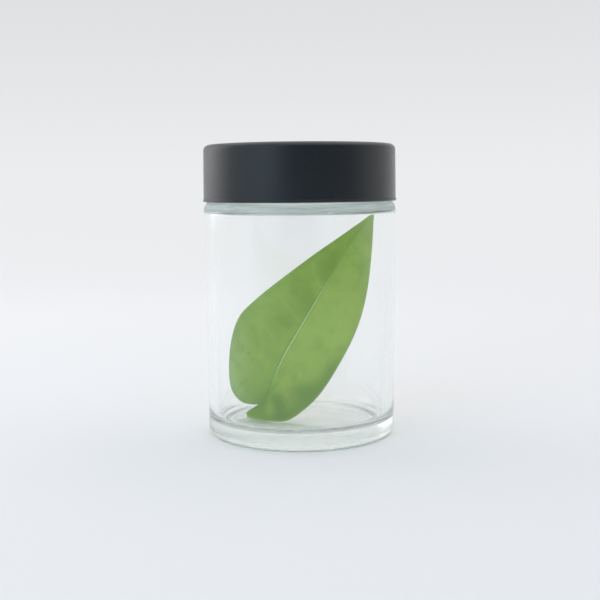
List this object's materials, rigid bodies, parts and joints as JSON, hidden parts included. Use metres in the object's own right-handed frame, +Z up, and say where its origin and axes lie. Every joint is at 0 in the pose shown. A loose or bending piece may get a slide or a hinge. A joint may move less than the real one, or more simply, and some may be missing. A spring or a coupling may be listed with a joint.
{
  "type": "specimen jar",
  "caption": "Straight-sided clear glass specimen jar with a smooth black screw lid, holding one green leaf upright for display.",
  "frame": {"origin": "centre of the plane that the jar rests on", "axes": "+Z up along the jar's axis, -Y towards the side from which the leaf is seen face on"},
  "size_m": [0.0604, 0.0604, 0.0905],
  "materials": {
    "clear_glass": "polished, faint green in the thick parts",
    "black_lid": "satin, slightly blue black",
    "inner_cap": "moulded matt, undyed white",
    "foam": "fine closed-cell foam",
    "facing": "smooth film",
    "leaf_blade": "fresh leaf, waxy, lets light through"
  },
  "bodies": {
    "jar": {"glass_jar": "clear_glass"},
    "liner": {"liner_foam": "foam", "liner_facing": "facing"},
    "lid": {"lid_shell": "black_lid", "lid_inner_cap": "inner_cap"},
    "leaf": {"leaf": "leaf_blade"}
  },
  "joints": [
    {"name": "lid_rise", "type": "slide", "parent": "jar", "child": "liner", "axis": [0, 0, 1], "range_m": [0, 0.02117]},
    {"name": "lid_turn", "type": "hinge", "parent": "liner", "child": "lid", "pos_m": [0, 0, 0.085], "axis": [0, 0, 1], "range_deg": [0, 1800]},
    {"name": "leaf_turn", "type": "hinge", "parent": "jar", "child": "leaf", "pos_m": [0, 0, 0.02], "axis": [0, 0, 1], "continuous": true}
  ],
  "couplings": [
    {"joint": "lid_rise", "follows": "lid_turn", "m_per_rad": 0.0006737}
  ]
}
